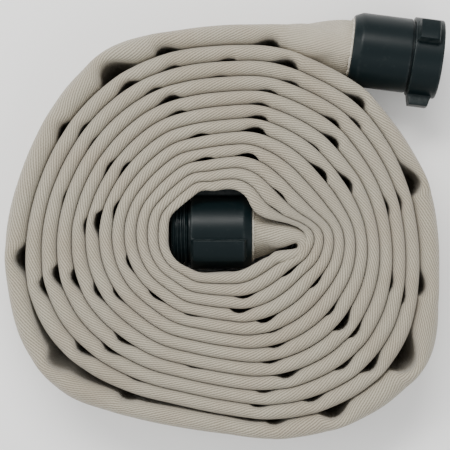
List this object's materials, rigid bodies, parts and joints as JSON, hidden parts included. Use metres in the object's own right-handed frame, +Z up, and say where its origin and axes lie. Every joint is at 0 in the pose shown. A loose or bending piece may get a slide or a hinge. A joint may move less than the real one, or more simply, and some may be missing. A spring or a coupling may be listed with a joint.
{
  "type": "rolled fire hose",
  "caption": "Flat woven fire hose in a single roll on its side, with a swivelling female coupling on the outside and a threaded male coupling in the middle.",
  "frame": {"origin": "on the surface that the roll lies on, under the centre of the whole part's bounding box", "axes": "+Z up along the roll's axis; +X towards the side that the swivel coupling points to, so the male coupling in the middle points to -X; +Y towards the side of the roll that the swivel coupling is on"},
  "size_m": [0.3368, 0.3278, 0.0777],
  "materials": {
    "jacket": "coarse diagonal weave, matt",
    "inner_jacket": "plain weave, matt",
    "liner": "smooth",
    "coupling": "dark hard-anodised satin",
    "brass": "rolled, satin",
    "gasket": "matt",
    "steel": "ground"
  },
  "bodies": {
    "hose": {"outer_jacket": "jacket", "inner_jacket": "inner_jacket", "rubber_liner": "liner", "female_bowl": "coupling", "female_expansion_ring": "brass", "female_tail_gasket": "gasket", "male_body": "coupling", "male_expansion_ring": "brass", "male_tail_gasket": "gasket"},
    "swivel": {"swivel_ring": "coupling", "ball_race_plug": "steel", "hose_washer": "gasket"},
    "ball_set": {"swivel_balls": "steel"}
  },
  "joints": [
    {"name": "swivel_spin", "type": "hinge", "parent": "hose", "child": "swivel", "pos_m": [0.14622, 0.12958, 0.0404], "axis": [0.9919, -0.1271, 0], "continuous": true},
    {"name": "ball_orbit", "type": "hinge", "parent": "hose", "child": "ball_set", "pos_m": [0.14622, 0.12958, 0.0404], "axis": [0.9919, -0.1271, 0], "continuous": true}
  ],
  "couplings": [
    {"joint": "ball_orbit", "follows": "swivel_spin", "ratio": 0.537}
  ]
}
